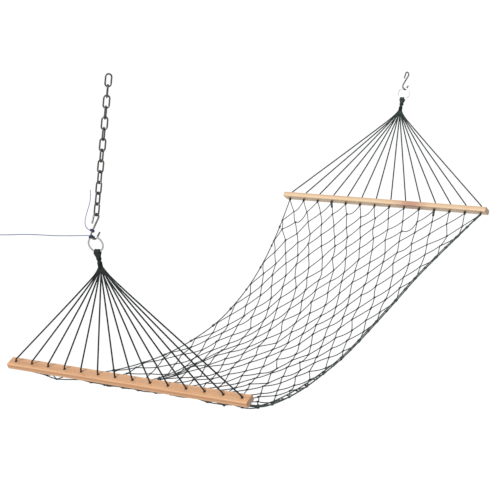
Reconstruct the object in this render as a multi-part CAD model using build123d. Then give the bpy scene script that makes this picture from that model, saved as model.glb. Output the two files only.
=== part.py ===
from build123d import *

import math
import os

# Rope-net hammock with two wooden spreader bars. The near end hangs from a chain and an
# S-hook, the far end from an S-hook, and a thin guy line steadies the near ring.
# X runs from the near end to the far end, Y along the spreader bars, Z up.
# The origin is the centre of the top chain link's free eye. Millimetres and degrees.

# Flat spreader bars and the two fans of cord. Each bar's place (x, z) is from its fan's foot,
# and it leans further than the fan does
HOLES = 14
HOLE_PITCH = 58.0
HOLE_DIAMETER = 7.0
COUNTERSINK = 1.2
BAR_LENGTH = 800.0
BAR_WIDTH = 35.0
BAR_THICKNESS = 18.0
BAR_EDGE_ROUNDING = 4.0
BAR_END_ROUNDING = 2.5
NEAR_BAR_LEAN = -33.0
FAR_BAR_LEAN = 25.0
NEAR_BAR_PLACE = (-1.0, 3.0)
FAR_BAR_PLACE = (6.0, -1.0)
FOOT_RUN = 1529.0
FOOT_RISE = 447.0
FAN_HEIGHT = 340.0
NEAR_FAN_LEAN = -21.8
FAR_FAN_LEAN = 18.1
FAN_ROOT_RADIUS = 60.0
CORD_DIAMETER = 4.5
CORD_BEND = 8.0
MOUTH_RISE = 5.0
KNOT_RADIUS = 5.2
KNOT_GAP = 0.5

# Chain, hooks and rings
LINKS = 13
LINK_WIRE = 4.5
LINK_WIDTH = 20.0
LINK_STEP = 28.0
CHAIN_LEAN = 5.0
TOP_LINK_FACING = 36.0
TWIST_PER_LINK = -3.5
HOOK_WIRE = 5.0
HOOK_HEIGHT = 66.0
HOOK_FACING = 72.0
UPPER_BEND = 8.0
LOWER_BEND = 11.0
UPPER_TIP = 20.0
LOWER_TIP = 14.0
UPPER_FLARE = 8.0
LOWER_FLARE = 25.0
RING_WIRE = 4.8
RING_RADIUS = 21.1
RING_FACING = 8.0
WIRE_GAP = 0.4

# Clews: the cords' necks, whipped and looped round the rings
CLEW_LENGTH = 73.0
EYE_WALL = 3.5
EYE_HALF_ANGLE = 28.0
NECK_RADIUS = 4.8
NECK_SHOULDER = 46.0
NECK_OVERLAP = 10.0
SHOULDER_HALF_WIDTH = 10.0
SHOULDER_HALF_DEPTH = 4.6
WHIPPING_WALL = 1.6
WHIPPING_LENGTH = 22.0

# Net bed, placed from the near fan's foot: side profile (x, z) and half widths (x, y)
NET_THICKNESS = 3.0
NET_END_GAP = 40.0
NET_PANELS = 8
NET_PANEL_GAP = 0.4
NET_PROFILE = [(0, -20), (267, -54), (527, -39), (784, 15), (1036, 120), (1284, 271), (1529, 427)]
NET_HALF_WIDTHS = [(0, 377), (267, 318), (527, 285), (784, 265), (1036, 270), (1284, 308), (1529, 377)]

# Guy line
GUY_DIAMETER = 1.8
GUY_LENGTH = 396.0
GUY_RISE = 2.9
GUY_EYE_RADIUS = 9.0
GUY_HITCH_LENGTH = 6.0
GUY_HITCH_GAP = 0.6
GUY_HITCH_WALL = 1.8
LOWER_HITCH_ANGLE = -27.0
UPPER_HITCH_RISE = 6.0
GUY_TAIL = [(0, 0), (12, 5), (19, 17), (18, 34), (14, 51), (9, 69), (8, 88), (11, 105)]

os.makedirs("parts", exist_ok=True)


def leaning(angle):
    """Unit vector that points up, leaning towards +X by the angle"""
    return Vector(math.sin(math.radians(angle)), 0, math.cos(math.radians(angle)))


def upright_plane(origin, up, facing):
    """Plane whose local Y is up and whose normal's azimuth, from +X towards +Y, is the facing"""
    across = Vector(-math.sin(math.radians(facing)), math.cos(math.radians(facing)), 0)
    normal = across.cross(up).normalized()
    return Plane(origin=origin, x_dir=up.cross(normal), z_dir=normal)


def tube(path, diameter):
    """Round tube along a path"""
    section = Plane(origin=path @ 0, z_dir=path % 0) * Circle(diameter / 2)
    return sweep(section, path=path)


def save(name, shape):
    shape.label = name
    export_step(shape, f"parts/{name}.step")
    print(f"{name:20s} {shape.volume:12.0f} mm3  {len(shape.solids())} solid")


# ---------------------------------------------------------------- places, from the top down
CHAIN_UP = leaning(CHAIN_LEAN)
NEAR_UP = leaning(NEAR_FAN_LEAN)
FAR_UP = leaning(FAR_FAN_LEAN)
ALONG_BAR = Vector(0, 1, 0)

link_bend = (LINK_WIDTH - LINK_WIRE) / 2
link_half = (LINK_STEP + LINK_WIRE + WIRE_GAP) / 2
top_link_centre = CHAIN_UP * (link_bend - link_half)
bottom_link_centre = top_link_centre - CHAIN_UP * LINK_STEP * (LINKS - 1)

hook_on_link = (LINK_WIRE + HOOK_WIRE) / 2 + WIRE_GAP
ring_on_hook = (RING_WIRE + HOOK_WIRE) / 2 + WIRE_GAP
near_hook_top = bottom_link_centre - CHAIN_UP * (link_half - hook_on_link)
near_hook_bottom = near_hook_top - CHAIN_UP * HOOK_HEIGHT
near_ring_centre = near_hook_bottom + Vector(0, 0, ring_on_hook) - NEAR_UP * RING_RADIUS
near_apex = near_ring_centre - NEAR_UP * CLEW_LENGTH
near_foot = near_apex - NEAR_UP * FAN_HEIGHT
far_foot = near_foot + Vector(FOOT_RUN, 0, FOOT_RISE)
far_apex = far_foot + FAR_UP * FAN_HEIGHT
far_ring_centre = far_apex + FAR_UP * CLEW_LENGTH
far_hook_bottom = far_ring_centre + FAR_UP * (RING_RADIUS - ring_on_hook)

near_bar_up = leaning(NEAR_BAR_LEAN)
far_bar_up = leaning(FAR_BAR_LEAN)
near_bar_centre = near_foot + Vector(NEAR_BAR_PLACE[0], 0, NEAR_BAR_PLACE[1])
far_bar_centre = far_foot + Vector(FAR_BAR_PLACE[0], 0, FAR_BAR_PLACE[1])
near_mouth = near_bar_centre + near_bar_up * (BAR_THICKNESS / 2 + MOUTH_RISE)
far_mouth = far_bar_centre + far_bar_up * (BAR_THICKNESS / 2 + MOUTH_RISE)
hole_offsets = [(index - (HOLES - 1) / 2) * HOLE_PITCH for index in range(HOLES)]


# ---------------------------------------------------------------- chain
def chain_link():
    """Welded link, standing on its end, centred on the origin"""
    leg = link_half - link_bend
    right_leg = Line((link_bend, -leg), (link_bend, leg))
    top = CenterArc((0, leg), link_bend, 0, 180)
    left_leg = Line((-link_bend, leg), (-link_bend, -leg))
    bottom = CenterArc((0, -leg), link_bend, 180, 180)
    return tube(Wire([right_leg.edge(), top.edge(), left_leg.edge(), bottom.edge()]), LINK_WIRE)


link = chain_link()
for number in range(1, LINKS + 1):
    turned = (number - 1) * TWIST_PER_LINK + (number - 1) % 2 * 90
    centre = top_link_centre - CHAIN_UP * LINK_STEP * (number - 1)
    place = upright_plane(centre, CHAIN_UP, TOP_LINK_FACING + turned)
    save(f"chain_link_{number:02d}", place.location * link)


# ---------------------------------------------------------------- S-hooks and rings
hook_centres = HOOK_HEIGHT - UPPER_BEND - LOWER_BEND
shank_lean = math.degrees(math.asin((UPPER_BEND + LOWER_BEND) / hook_centres))


def on_circle(centre, radius, angle):
    """Point of a circle in the drawing plane"""
    turn = math.radians(angle)
    return Vector(centre[0] + radius * math.cos(turn), centre[1] + radius * math.sin(turn))


def hook_path():
    """Centreline of an S-hook, with the bottom of its lower bend at the origin"""
    lower_centre = (0, LOWER_BEND)
    upper_centre = (0, LOWER_BEND + hook_centres)
    upper_start = on_circle(upper_centre, UPPER_BEND, UPPER_FLARE)
    upper_tip = upper_start + Vector(UPPER_TIP, 0).rotate(Axis.Z, UPPER_FLARE - 90)
    shank_top = on_circle(upper_centre, UPPER_BEND, 180 + shank_lean)
    shank_foot = on_circle(lower_centre, LOWER_BEND, shank_lean)
    lower_end = on_circle(lower_centre, LOWER_BEND, LOWER_FLARE - 180)
    lower_tip = lower_end + Vector(LOWER_TIP, 0).rotate(Axis.Z, LOWER_FLARE + 90)
    return Wire([
        Line(upper_tip, upper_start).edge(),
        CenterArc(upper_centre, UPPER_BEND, UPPER_FLARE, 180 + shank_lean - UPPER_FLARE).edge(),
        Line(shank_top, shank_foot).edge(),
        CenterArc(lower_centre, LOWER_BEND, shank_lean, LOWER_FLARE - 180 - shank_lean).edge(),
        Line(lower_end, lower_tip).edge(),
    ])


hook = tube(hook_path(), HOOK_WIRE)
near_hook_plane = upright_plane(near_hook_bottom, CHAIN_UP, HOOK_FACING)
far_hook_plane = upright_plane(far_hook_bottom, FAR_UP, HOOK_FACING)
save("near_s_hook", near_hook_plane.location * hook)
save("far_s_hook", far_hook_plane.location * hook)

near_ring_plane = upright_plane(near_ring_centre, NEAR_UP, RING_FACING)
far_ring_plane = upright_plane(far_ring_centre, FAR_UP, RING_FACING)
ring = Torus(RING_RADIUS, RING_WIRE / 2)
save("near_ring", near_ring_plane.location * ring)
save("far_ring", far_ring_plane.location * ring)


# ---------------------------------------------------------------- clews
eye_bore = RING_WIRE / 2 + WIRE_GAP
eye_outside = eye_bore + EYE_WALL


def section_across_neck(depth):
    """Plane across the neck, at a depth below the ring's centre"""
    return Plane(origin=(0, -depth, 0), x_dir=(1, 0, 0), z_dir=(0, -1, 0))


def clew():
    """Bundle of cord from its eye round the ring to the fan's root; the ring's centre is the origin"""
    eye = Torus(RING_RADIUS, eye_outside)
    reach = RING_RADIUS * 2
    half_base = reach * math.tan(math.radians(EYE_HALF_ANGLE))
    wedge_face = make_face(Polyline((0, 0), (half_base, -reach), (-half_base, -reach), close=True))
    eye &= extrude(wedge_face, eye_outside, both=True)
    shoulder_top = section_across_neck(RING_RADIUS + EYE_WALL) * Ellipse(SHOULDER_HALF_WIDTH, SHOULDER_HALF_DEPTH)
    shoulder_foot = section_across_neck(NECK_SHOULDER) * Circle(NECK_RADIUS)
    shoulder = loft([shoulder_top, shoulder_foot])
    neck = extrude(shoulder_foot, CLEW_LENGTH - NECK_SHOULDER + NECK_OVERLAP)
    return eye + shoulder + neck - Torus(RING_RADIUS, eye_bore)


def fan_root(height):
    """Flat sector where a fan's cords still lie side by side; the apex is the origin"""
    outer_angle = math.degrees(math.atan(hole_offsets[-1] / height))
    half_angle = outer_angle + math.degrees(CORD_DIAMETER / 2 / FAN_ROOT_RADIUS)
    rim = CenterArc((0, 0), FAN_ROOT_RADIUS, -90 - half_angle, 2 * half_angle)
    outline = Wire([Line((0, 0), rim @ 0).edge(), rim.edge(), Line(rim @ 1, (0, 0)).edge()])
    return extrude(make_face(outline), CORD_DIAMETER / 2, both=True)


def whipping():
    """Sleeve of wound twine round the neck's foot; the ring's centre is the origin"""
    plane = section_across_neck(CLEW_LENGTH - WHIPPING_LENGTH)
    sleeve = Circle(NECK_RADIUS + WHIPPING_WALL) - Circle(NECK_RADIUS)
    return extrude(plane * sleeve, WHIPPING_LENGTH - CORD_DIAMETER)


for end, ring_plane, apex, mouth in (
    ("near", near_ring_plane, near_apex, near_mouth),
    ("far", far_ring_plane, far_apex, far_mouth),
):
    fan = apex - mouth
    root = upright_plane(apex, fan.normalized(), 0).location * fan_root(fan.length)
    save(f"{end}_clew", ring_plane.location * clew() + root - ring_plane.location * whipping())
    save(f"{end}_whipping", ring_plane.location * whipping() - root)


# ---------------------------------------------------------------- spreader bars
def spreader_bar(centre, up):
    """Flat bar with rounded edges and a row of holes bored through its thickness"""
    bar = Box(BAR_LENGTH, BAR_WIDTH, BAR_THICKNESS)
    bar = fillet(bar.edges().filter_by(Axis.X), BAR_EDGE_ROUNDING)
    bar = fillet([face.edges() for face in bar.faces().filter_by(Axis.X)], BAR_END_ROUNDING)
    hole = Cylinder(HOLE_DIAMETER / 2, 2 * BAR_THICKNESS)
    rim = Cone(HOLE_DIAMETER / 2, HOLE_DIAMETER / 2 + 2 * COUNTERSINK, 2 * COUNTERSINK)
    cutter = hole + Pos(0, 0, BAR_THICKNESS / 2) * rim
    cutter += Pos(0, 0, -BAR_THICKNESS / 2) * Rot(180, 0, 0) * rim
    bar -= [Pos(offset, 0, 0) * cutter for offset in hole_offsets]
    return Plane(origin=centre, x_dir=ALONG_BAR, z_dir=up).location * bar


save("near_bar", spreader_bar(near_bar_centre, near_bar_up))
save("far_bar", spreader_bar(far_bar_centre, far_bar_up))


# ---------------------------------------------------------------- harness cords
def harness_cord(apex, bar_centre, up, offset):
    """Taut cord from the fan's root through its hole, with a stop knot beyond the bar"""
    hole_axis = bar_centre + ALONG_BAR * offset
    mouth = hole_axis + up * (BAR_THICKNESS / 2 + MOUTH_RISE)
    knot_centre = hole_axis - up * (BAR_THICKNESS / 2 + KNOT_RADIUS + KNOT_GAP)
    start = apex + (mouth - apex).normalized() * FAN_ROOT_RADIUS
    route = FilletPolyline(start, mouth, knot_centre, radius=CORD_BEND)
    return tube(route, CORD_DIAMETER) + Pos(*knot_centre) * Sphere(KNOT_RADIUS)


# Cord 1 is at the +Y end of the bar
for number, offset in enumerate(reversed(hole_offsets), start=1):
    save(f"near_cord_{number:02d}", harness_cord(near_apex, near_bar_centre, near_bar_up, offset))
    save(f"far_cord_{number:02d}", harness_cord(far_apex, far_bar_centre, far_bar_up, offset))


# ---------------------------------------------------------------- net bed
def net_bed():
    """Thin sagging slab in the net's place, with its narrow waist, in panels that follow the sag"""
    upper = Spline([(x, z + NET_THICKNESS / 2) for x, z in NET_PROFILE])
    lower = Spline([(x, z - NET_THICKNESS / 2) for x, z in NET_PROFILE])
    ends = [Line(upper @ 0, lower @ 0), Line(upper @ 1, lower @ 1)]
    side_plane = Plane(origin=near_foot, x_dir=(1, 0, 0), z_dir=(0, -1, 0))
    ribbon_face = make_face([upper.edge(), lower.edge(), ends[0].edge(), ends[1].edge()])
    ribbon = extrude(side_plane * ribbon_face, BAR_LENGTH / 2, both=True)
    left = Spline([(x, y) for x, y in NET_HALF_WIDTHS])
    right = Spline([(x, -y) for x, y in NET_HALF_WIDTHS])
    edges = [Line(left @ 0, right @ 0), Line(left @ 1, right @ 1)]
    plan_face = make_face([left.edge(), right.edge(), edges[0].edge(), edges[1].edge()])
    plan = Pos(*near_foot) * extrude(plan_face, 2 * FOOT_RISE, both=True)
    slab = ribbon & plan
    pitch = (FOOT_RUN - 2 * NET_END_GAP) / NET_PANELS
    panels = []
    for number in range(NET_PANELS):
        middle = near_foot + Vector(NET_END_GAP + (number + 0.5) * pitch, 0, 0)
        span = Pos(*middle) * Box(pitch - NET_PANEL_GAP, 2 * BAR_LENGTH, 4 * FOOT_RISE)
        panels.append((slab & span).solid())
    return Compound(panels)


save("net_bed", net_bed())


# ---------------------------------------------------------------- guy line
def hook_point(angle):
    """Point of the near S-hook's lower bend, in its own plane"""
    return on_circle((0, LOWER_BEND), LOWER_BEND, angle)


def hitch(point, direction):
    """Turns of twine round the hook's wire"""
    inside = HOOK_WIRE / 2 + GUY_HITCH_GAP
    ring_face = Circle(inside + GUY_HITCH_WALL) - Circle(inside)
    plane = Plane(origin=point, z_dir=direction)
    return extrude(plane * ring_face, GUY_HITCH_LENGTH / 2, both=True)


lower_point = hook_point(LOWER_HITCH_ANGLE)
lower_hitch = hitch(lower_point, Vector(0, 1).rotate(Axis.Z, LOWER_HITCH_ANGLE))
shank_direction = Vector(0, 1).rotate(Axis.Z, shank_lean)
upper_point = hook_point(shank_lean) + shank_direction * UPPER_HITCH_RISE
upper_hitch = hitch(upper_point, shank_direction)
save("guy_hitch_lower", near_hook_plane.location * lower_hitch)
save("guy_hitch_upper", near_hook_plane.location * upper_hitch)

hitch_outside = HOOK_WIRE / 2 + GUY_HITCH_GAP + GUY_HITCH_WALL
guy_out = Vector(-math.cos(math.radians(GUY_RISE)), 0, math.sin(math.radians(GUY_RISE)))
guy_start = near_hook_plane.from_local_coords(lower_point + Vector(hitch_outside + GUY_DIAMETER, 2))
guy_end = guy_start + guy_out * GUY_LENGTH
guy_run = tube(Line(guy_start, guy_end), GUY_DIAMETER)
eye_plane = Plane(origin=guy_end + guy_out * GUY_EYE_RADIUS, x_dir=guy_out, z_dir=(0, 1, 0))
save("guy_line", guy_run + eye_plane.location * Torus(GUY_EYE_RADIUS, GUY_DIAMETER / 2))

tail_start = upper_point + Vector(hitch_outside + GUY_DIAMETER, 0)
tail_points = [near_hook_plane.from_local_coords(tail_start + Vector(x, y)) for x, y in GUY_TAIL]
tail_radii = []
for before, corner, after in zip(tail_points, tail_points[1:], tail_points[2:]):
    turn = (corner - before).get_angle(after - corner)
    shorter = min((corner - before).length, (after - corner).length)
    tail_radii.append(0.45 * shorter / math.tan(math.radians(turn / 2)))
print("guy tail radii", [round(radius, 1) for radius in tail_radii])
guy_tail = tube(FilletPolyline(*tail_points, radius=tail_radii), GUY_DIAMETER)
save("guy_tail", guy_tail)

print("near bar centre", near_bar_centre)
print("far bar centre", far_bar_centre)
print("near ring", near_ring_centre, "far ring", far_ring_centre)
print("link 1 bottom", top_link_centre - CHAIN_UP * link_half)
print("far hook bottom", far_hook_bottom)
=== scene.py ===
"""Looks of a rope-net hammock with two spreader bars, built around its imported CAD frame.

Metres, Z up, in the CAD's own frame: X runs from the near (chain) end to the far end and Y
along the spreader bars. The metal and the wood keep their CAD shapes and get finishes here.
Cords, knots, clews, net and guy line are built as laid cord and stand for their CAD solids.
"""

import logging
import math
from dataclasses import dataclass
from enum import Enum

import bpy
import numpy as np
from mathutils import Matrix, Vector


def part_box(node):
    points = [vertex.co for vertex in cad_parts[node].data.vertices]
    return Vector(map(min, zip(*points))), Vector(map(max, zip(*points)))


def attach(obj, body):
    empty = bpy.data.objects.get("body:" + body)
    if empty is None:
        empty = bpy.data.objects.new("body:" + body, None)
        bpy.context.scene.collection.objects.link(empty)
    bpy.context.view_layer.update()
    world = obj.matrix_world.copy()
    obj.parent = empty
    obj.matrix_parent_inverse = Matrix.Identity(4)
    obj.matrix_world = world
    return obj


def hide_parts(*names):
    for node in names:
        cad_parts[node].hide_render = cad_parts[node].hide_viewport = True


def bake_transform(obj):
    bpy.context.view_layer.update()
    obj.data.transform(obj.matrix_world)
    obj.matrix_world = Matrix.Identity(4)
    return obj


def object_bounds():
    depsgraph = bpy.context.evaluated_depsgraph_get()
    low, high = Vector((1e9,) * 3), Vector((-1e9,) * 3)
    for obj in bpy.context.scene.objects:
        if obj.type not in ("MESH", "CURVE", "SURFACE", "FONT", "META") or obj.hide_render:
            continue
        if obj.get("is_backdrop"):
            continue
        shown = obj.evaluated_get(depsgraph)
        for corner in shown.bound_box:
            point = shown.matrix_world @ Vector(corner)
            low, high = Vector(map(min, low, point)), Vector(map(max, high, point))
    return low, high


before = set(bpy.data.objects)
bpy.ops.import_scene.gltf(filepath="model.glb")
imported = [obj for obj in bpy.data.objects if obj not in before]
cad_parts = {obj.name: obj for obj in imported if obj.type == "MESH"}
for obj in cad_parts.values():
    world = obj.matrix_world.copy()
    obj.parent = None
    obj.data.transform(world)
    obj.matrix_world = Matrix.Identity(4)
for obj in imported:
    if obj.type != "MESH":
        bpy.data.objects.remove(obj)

Array = np.ndarray
Colour = tuple[float, float, float]
Place = tuple[float, float, float]
Pair = tuple[float, float]

LOG = logging.getLogger("hammock")
ALONG_BAR = np.array([0.0, 1.0, 0.0])
UPWARDS = np.array([0.0, 0.0, 1.0])
TURN = 2 * math.pi


class End(Enum):
    """The two ends of the hammock, by the first word of their node names."""

    NEAR = "near"
    FAR = "far"


class Side(Enum):
    """The two long edges of the net, by the sign of their Y."""

    LEFT = 1
    RIGHT = -1


# ---------------------------------------------------------------- geometry
def unit(vector: Array) -> Array:
    """Vector of length one in the same direction."""
    return vector / np.linalg.norm(vector)


def middle_of(node: str) -> Array:
    """Centre of a CAD node's box."""
    low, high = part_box(node)
    return (np.array(low) + np.array(high)) / 2


def distances_along(line: Array) -> Array:
    """Distance of each point of a line from its start."""
    spans = np.linalg.norm(np.diff(line, axis=0), axis=1)
    return np.concatenate([[0.0], np.cumsum(spans)])


def points_at(line: Array, along: Array, wanted: Array | float) -> Array:
    """Points of a line at given distances from its start.

    Args:
        line: Points of the line.
        along: Their distances from its start.
        wanted: One distance, or several.

    Returns:
        One point, or one row for each distance.
    """
    return np.stack([np.interp(wanted, along, line[:, axis]) for axis in range(3)], axis=-1)


@dataclass(frozen=True)
class Axes:
    """Local axes of an upright piece: across it, up it, and square to it."""

    origin: Array
    across: Array
    up: Array
    normal: Array

    def place(self, across: float, up: float, out: float = 0.0) -> Array:
        """Point in the frame from its three local distances."""
        return self.origin + across * self.across + up * self.up + out * self.normal


def upright_axes(origin: Array, up: Array, facing: float) -> Axes:
    """Axes of a piece that hangs along up and faces a compass direction.

    Args:
        origin: The local origin.
        up: Unit vector up the piece.
        facing: Azimuth of its face in degrees, from +X towards +Y.

    Returns:
        The local axes.
    """
    turn = math.radians(facing)
    normal = unit(np.cross([-math.sin(turn), math.cos(turn), 0.0], up))
    return Axes(origin, np.cross(up, normal), up, normal)


def leaning(angle: float) -> Array:
    """Unit vector that points up and leans towards +X by an angle in degrees."""
    return np.array([math.sin(math.radians(angle)), 0.0, math.cos(math.radians(angle))])


def even_line(line: Array, step: float, closed: bool = False) -> Array:
    """Line with evenly spaced points.

    Args:
        line: Points of the line.
        step: Longest distance allowed between points.
        closed: Whether the last point joins the first.

    Returns:
        The new points, never fewer than before.
    """
    whole = np.concatenate([line, line[:1]]) if closed else line
    along = distances_along(whole)
    count = max(len(whole), math.ceil(along[-1] / step) + 1)
    wanted = np.linspace(0, along[-1], count)
    even = points_at(whole, along, wanted)
    return even[:-1] if closed else even


def smooth_route(points: list[Array], steps: int = 16) -> Array:
    """Smooth line of a cord from the points of its route.

    Args:
        points: Control points, in order.
        steps: Points of the line for each control point.

    Returns:
        The line's points.
    """
    curve = bpy.data.curves.new("route", "CURVE")
    curve.dimensions = "3D"
    curve.resolution_u = steps
    spline = curve.splines.new("NURBS")
    spline.points.add(len(points) - 1)
    for knot, point in zip(spline.points, points):
        knot.co = (*point, 1.0)
    spline.order_u = 3
    spline.use_endpoint_u = True
    holder = bpy.data.objects.new("route", curve)
    mesh = bpy.data.meshes.new_from_object(holder)
    line = np.array([vertex.co for vertex in mesh.vertices], float)
    bpy.data.meshes.remove(mesh)
    bpy.data.objects.remove(holder)
    bpy.data.curves.remove(curve)
    return line


def natural_spline(known: Array, values: Array, wanted: Array) -> Array:
    """Values of the natural cubic spline through known points.

    Args:
        known: Rising abscissas.
        values: Ordinates at the abscissas.
        wanted: Abscissas to read.

    Returns:
        The ordinates at the wanted abscissas.
    """
    count = len(known)
    gap = np.diff(known)
    slope = np.diff(values) / gap
    matrix = np.eye(count)
    right = np.zeros(count)
    for row in range(1, count - 1):
        matrix[row, row - 1 : row + 2] = gap[row - 1], 2 * (gap[row - 1] + gap[row]), gap[row]
        right[row] = 6 * (slope[row] - slope[row - 1])
    bend = np.linalg.solve(matrix, right)
    span = np.clip(np.searchsorted(known, wanted) - 1, 0, count - 2)
    width = gap[span]
    after = (wanted - known[span]) / width
    before = 1 - after
    curved = (before**3 - before) * bend[span] + (after**3 - after) * bend[span + 1]
    return before * values[span] + after * values[span + 1] + curved * width**2 / 6


# ---------------------------------------------------------------- laid cord
@dataclass(frozen=True)
class Lay:
    """How a cord is laid up from its strands."""

    radius: float
    strands: int = 3
    groove: float = 0.24
    pitch: float = 0.022
    per_strand: int = 4

    def section(self) -> tuple[Array, Array, Array]:
        """Angles, radii and groove depths of the points round one cross-section."""
        sides = self.strands * self.per_strand
        angles = np.arange(sides) * TURN / sides
        depths = 1 - np.abs(np.cos(self.strands * angles / 2))
        return angles, self.radius * (1 - self.groove * depths), depths


def carried_normals(tangents: Array) -> Array:
    """Normals along a line that turn as little as they can."""
    first = np.cross(tangents[0], UPWARDS)
    if np.linalg.norm(first) < 0.1:
        first = np.cross(tangents[0], ALONG_BAR)
    normals = [unit(first)]
    for tangent in tangents[1:]:
        carried = normals[-1] - np.dot(normals[-1], tangent) * tangent
        normals.append(unit(carried))
    return np.array(normals)


class CordMesh:
    """Gathers tubes of laid cord into one mesh."""

    steps_per_turn = 9

    def __init__(self) -> None:
        """Starts with no cord."""
        self.points: list[Array] = []
        self.fibres: list[Array] = []
        self.grooves: list[Array] = []
        self.faces: list[list[int]] = []
        self.count = 0

    def add(self, line: Array, lay: Lay, closed: bool = False, phase: float = 0.0) -> None:
        """Adds one cord along a line.

        Args:
            line: Centreline points.
            lay: How the cord is laid up.
            closed: Whether the last point joins the first.
            phase: Turn of the strands at the start, in radians.
        """
        line = even_line(line, lay.pitch / self.steps_per_turn, closed)
        steps = np.roll(line, -1, 0) - np.roll(line, 1, 0) if closed else np.gradient(line, axis=0)
        tangents = steps / np.linalg.norm(steps, axis=1)[:, None]
        first = carried_normals(tangents)
        along = distances_along(line)
        twist = phase + TURN * along / lay.pitch
        if closed:
            twist = self._closing_twist(line, tangents, first, along, lay)
        second = np.cross(tangents, first)
        angles, radii, depths = lay.section()
        turned = angles[None, :] + twist[:, None]
        ring = np.cos(turned)[..., None] * first[:, None] + np.sin(turned)[..., None] * second[:, None]
        tube = line[:, None] + radii[None, :, None] * ring
        shape = (len(line), len(angles))
        fibre = np.stack(
            [
                np.broadcast_to(radii * np.cos(angles), shape),
                np.broadcast_to(radii * np.sin(angles), shape),
                np.broadcast_to(along[:, None], shape),
            ],
            axis=-1,
        )
        self.points.append(tube.reshape(-1, 3))
        self.fibres.append(fibre.reshape(-1, 3))
        self.grooves.append(np.broadcast_to(depths, shape).reshape(-1))
        self._add_faces(len(line), len(angles), closed)
        self.count += len(line) * len(angles)

    @staticmethod
    def _closing_twist(line: Array, tangents: Array, first: Array, along: Array, lay: Lay) -> Array:
        """Twist along a closed cord whose strands meet at the seam."""
        total = along[-1] + np.linalg.norm(line[0] - line[-1])
        end = first[-1] - np.dot(first[-1], tangents[0]) * tangents[0]
        side = np.cross(tangents[0], first[0])
        drift = math.atan2(float(np.dot(end, side)), float(np.dot(end, first[0])))
        turns = max(1, round(total / lay.pitch * lay.strands)) / lay.strands * TURN
        return along / total * (turns - drift)

    def _add_faces(self, rings: int, sides: int, closed: bool) -> None:
        """Adds the quads between rings, and end caps on an open cord."""
        last = rings if closed else rings - 1
        ring = np.arange(last)[:, None]
        side = np.arange(sides)[None, :]
        here = self.count + ring * sides
        there = self.count + (ring + 1) % rings * sides
        beside = (side + 1) % sides
        quads = np.stack([here + side, here + beside, there + beside, there + side], axis=-1)
        self.faces.extend(quads.reshape(-1, 4).tolist())
        if not closed:
            start = list(range(self.count, self.count + sides))
            end = self.count + (rings - 1) * sides
            self.faces.append(start[::-1])
            self.faces.append(list(range(end, end + sides)))

    def make(self, name: str, material: bpy.types.Material) -> bpy.types.Object:
        """Makes the object.

        Args:
            name: Name of the piece.
            material: Its finish.

        Returns:
            The new piece, on no body yet.
        """
        mesh = bpy.data.meshes.new(name)
        mesh.from_pydata(np.concatenate(self.points).tolist(), [], self.faces)
        fibre = mesh.attributes.new("fibre", "FLOAT_VECTOR", "POINT")
        fibre.data.foreach_set("vector", np.concatenate(self.fibres).astype(np.float32).ravel())
        groove = mesh.attributes.new("groove", "FLOAT", "POINT")
        groove.data.foreach_set("value", np.concatenate(self.grooves).astype(np.float32))
        mesh.shade_smooth()
        mesh.materials.append(material)
        piece = bpy.data.objects.new(name, mesh)
        bpy.context.scene.collection.objects.link(piece)
        LOG.info("%s: %d faces", name, len(self.faces))
        return piece


def laid_piece(
    name: str, line: Array, lay: Lay, material: bpy.types.Material, phase: float = 0.0
) -> bpy.types.Object:
    """One cord along one line, as a piece.

    Args:
        name: Name of the piece.
        line: Centreline points.
        lay: How the cord is laid up.
        material: Its finish.
        phase: Turn of the strands at the start, in radians.

    Returns:
        The new piece, on no body yet.
    """
    strands = CordMesh()
    strands.add(line, lay, phase=phase)
    return strands.make(name, material)


def overhand(centre: Array, along: Array, beside: Array, size: Array, steps: int = 24) -> Array:
    """Closed line of an overhand knot, pulled tight.

    Args:
        centre: Middle of the knot.
        along: Unit vector along the cord.
        beside: Unit vector across it.
        size: Half length, half width and half depth of the line.
        steps: Points of the line.

    Returns:
        The line's points, without the first one repeated.
    """
    turn = np.arange(steps)[:, None] * TURN / steps
    length = (np.cos(turn) - 2 * np.cos(2 * turn)) / 3 * size[0]
    width = (np.sin(turn) + 2 * np.sin(2 * turn)) / 3 * size[1]
    depth = -np.sin(3 * turn) * size[2]
    return centre + length * along + width * beside + depth * np.cross(along, beside)


def coil(line: Array, radius: float, pitch: float, steps: int = 16, wide: float = 0.0) -> Array:
    """Turns of twine wound round a line.

    Args:
        line: Line that the turns go round.
        radius: Radius of the turns.
        pitch: Distance between turns.
        steps: Points of each turn.
        wide: Extra half width of the turns, towards the frame's Y.

    Returns:
        The wound line's points.
    """
    along = distances_along(line)
    turns = along[-1] / pitch
    wanted = np.linspace(0, along[-1], max(8, int(turns * steps)))
    centre = points_at(line, along, wanted)
    step = np.gradient(centre, axis=0)
    tangent = step / np.linalg.norm(step, axis=1)[:, None]
    first = carried_normals(tangent)
    second = np.cross(tangent, first)
    turn = (wanted / pitch * TURN)[:, None]
    ring = np.cos(turn) * first + np.sin(turn) * second
    return centre + radius * ring + wide * (ring @ ALONG_BAR)[:, None] * ALONG_BAR


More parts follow.
